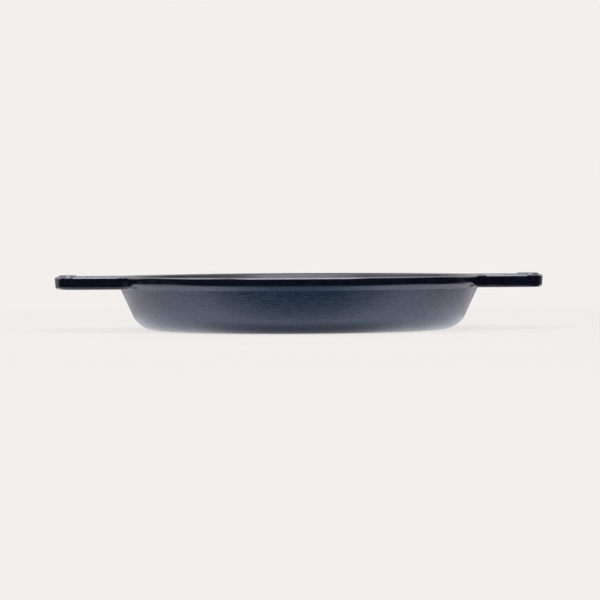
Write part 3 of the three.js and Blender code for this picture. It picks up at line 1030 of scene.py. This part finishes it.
def for_reflections(context, bm, name, material, turn=0.0):
    """Makes an object of a drawn surface that reflections alone see, turned about the pan's axis."""
    thing = stage_object(context, bm, name, material)
    thing.rotation_euler.z = turn
    thing.visible_camera = False
    thing.visible_diffuse = False
    thing.visible_shadow = False
    thing.visible_transmission = False


def disc(radius, height):
    """Flat round sheet."""
    bm = bmesh.new()
    place = Matrix.Translation((0.0, 0.0, height))
    bmesh.ops.create_circle(bm, cap_ends=True, radius=radius, segments=ROUND_STEPS, matrix=place)
    return bm


def softbox(context, name, place, size, radiance, sheen):
    """Lamp of an even brightness that faces the pan, with a bright face for reflections."""
    lamp = bpy.data.lights.new(name, "AREA")
    lamp.shape = "RECTANGLE"
    lamp.size, lamp.size_y = size
    lamp.energy = radiance * pi * lamp.size * lamp.size_y
    facing = (-place).to_track_quat("-Z", "Y")
    holder = bpy.data.objects.new(name, lamp)
    holder.location = place
    holder.rotation_euler = facing.to_euler()
    context.collection.objects.link(holder)

    material, _, shown = new_glow(f"{name}_face", radiance * sheen)
    shown.default_value = opaque(WHITE)
    bm = bmesh.new()
    behind = place + facing @ Vector((0.0, 0.0, FACE_DEPTH))
    spread = Matrix.LocRotScale(behind, facing, Vector((*size, 1.0)))
    bmesh.ops.create_grid(bm, x_segments=1, y_segments=1, size=0.5, matrix=spread)
    for_reflections(context, bm, f"{name}_face", material)


class PAN_OT_studio(bpy.types.Operator):
    """Set up the floor, what the enamel mirrors, the softboxes, the background and the camera"""

    bl_idname = "pan.studio"
    bl_label = "Studio"

    def execute(self, context):
        settings = context.scene.pan_studio
        floor = disc(settings.floor_radius, -settings.floor_drop)
        stage_object(context, floor, "floor", floor_paper(settings))
        sheet = disc(settings.table_radius, settings.table_lift)
        for_reflections(context, sheet, "bright_table", bright_table(settings), -settings.turn)
        self.stand_screen(context, settings)
        self.hang_softboxes(context, settings)
        self.fill_background(context, settings)
        self.place_camera(context, settings)
        context.scene.view_settings.view_transform = "Standard"
        return {"FINISHED"}

    def stand_screen(self, context, settings):
        """Screen right round the studio, for what the enamel mirrors at the horizon."""
        bm = bmesh.new()
        end = drawn_from(bm, settings.screen_radius, settings.screen_foot)
        line_to(bm, end, settings.screen_radius, settings.screen_top)
        revolved(bm)
        for_reflections(context, bm, "horizon_screen", horizon_cloth(settings), -settings.turn)

    def hang_softboxes(self, context, settings):
        """Lamps above the pan, at each side and behind it, all facing the pan."""
        side_size = (settings.side_width, settings.side_depth)
        lamps = {
            "above": ((0.0, -settings.top_forward, settings.top_height),
                      (settings.top_width, settings.top_depth), settings.top_radiance),
            "left": ((-settings.side_reach, settings.side_back, settings.side_height),
                     side_size, settings.left_radiance),
            "right": ((settings.side_reach, settings.side_back, settings.side_height),
                      side_size, settings.right_radiance),
            "back": ((0.0, settings.back_reach, settings.back_height),
                     (settings.back_width, settings.back_depth), settings.back_radiance),
        }
        turned = Matrix.Rotation(-settings.turn, 3, "Z")
        for name, (place, size, radiance) in lamps.items():
            softbox(context, f"softbox_{name}", turned @ Vector(place), size, radiance, settings.sheen)

    def fill_background(self, context, settings):
        """World that lights evenly, and shows as the pale background."""
        world = bpy.data.worlds.new("studio")
        context.scene.world = world
        world.use_nodes = True
        tree = world.node_tree
        lit = tree.nodes["Background"]
        lit.inputs["Color"].default_value = opaque(settings.sky)
        lit.inputs["Strength"].default_value = settings.sky_strength
        seen = add_node(tree, "ShaderNodeBackground", {"Color": opaque(settings.pale), "Strength": 1.0})
        both = layered(tree, seen_directly(tree), lit.outputs["Background"], seen.outputs["Background"])
        tree.links.new(both, tree.nodes["World Output"].inputs["Surface"])

    def place_camera(self, context, settings):
        """Camera at the height and distance of the viewer."""
        camera = bpy.data.cameras.new("camera")
        camera.sensor_width = SENSOR_WIDTH
        camera.lens = settings.lens
        camera.clip_start = CLIP_START
        camera.clip_end = CLIP_END
        holder = bpy.data.objects.new("camera", camera)
        place = Vector((settings.aside, -settings.distance, settings.eye_height))
        holder.location = Matrix.Rotation(-settings.turn, 3, "Z") @ place
        holder.rotation_euler = (pi / 2 - settings.pitch, settings.roll, -settings.turn)
        context.collection.objects.link(holder)
        context.scene.camera = holder


OPERATORS = (
    PAN_OT_wall_coat,
    PAN_OT_rim_and_handles_coat,
    PAN_OT_inner_coat,
    PAN_OT_base_coat,
    PAN_OT_iron_finish,
    PAN_OT_studio,
)
GROUPS = {
    "pan_sizes": PanSizes,
    "pan_handles": HandleSizes,
    "pan_colours": PanColours,
    "pan_studio": StudioSettings,
}


class PAN_PT_sidebar(bpy.types.Panel):
    """Sizes and colours of the pan, and the steps that make it"""

    bl_idname = "PAN_PT_sidebar"
    bl_label = "Shallow pan"
    bl_space_type = "VIEW_3D"
    bl_region_type = "UI"
    bl_category = "Pan"

    def draw(self, context):
        for operator in OPERATORS:
            self.layout.operator(operator.bl_idname)
        for name, group in GROUPS.items():
            box = self.layout.box()
            for field in group.__annotations__:
                box.prop(getattr(context.scene, name), field)


def register():
    for group in GROUPS.values():
        bpy.utils.register_class(group)
    for name, group in GROUPS.items():
        setattr(bpy.types.Scene, name, PointerProperty(type=group))
    for kind in (*OPERATORS, PAN_PT_sidebar):
        bpy.utils.register_class(kind)


def unregister():
    for kind in (PAN_PT_sidebar, *reversed(OPERATORS)):
        bpy.utils.unregister_class(kind)
    for name, group in reversed(GROUPS.items()):
        delattr(bpy.types.Scene, name)
        bpy.utils.unregister_class(group)


def main():
    register()
    bpy.ops.pan.wall_coat()
    bpy.ops.pan.rim_and_handles_coat()
    bpy.ops.pan.inner_coat()
    bpy.ops.pan.base_coat()
    bpy.ops.pan.iron_finish()
    bpy.ops.pan.studio()
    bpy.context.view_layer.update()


if __name__ == "__main__":
    main()
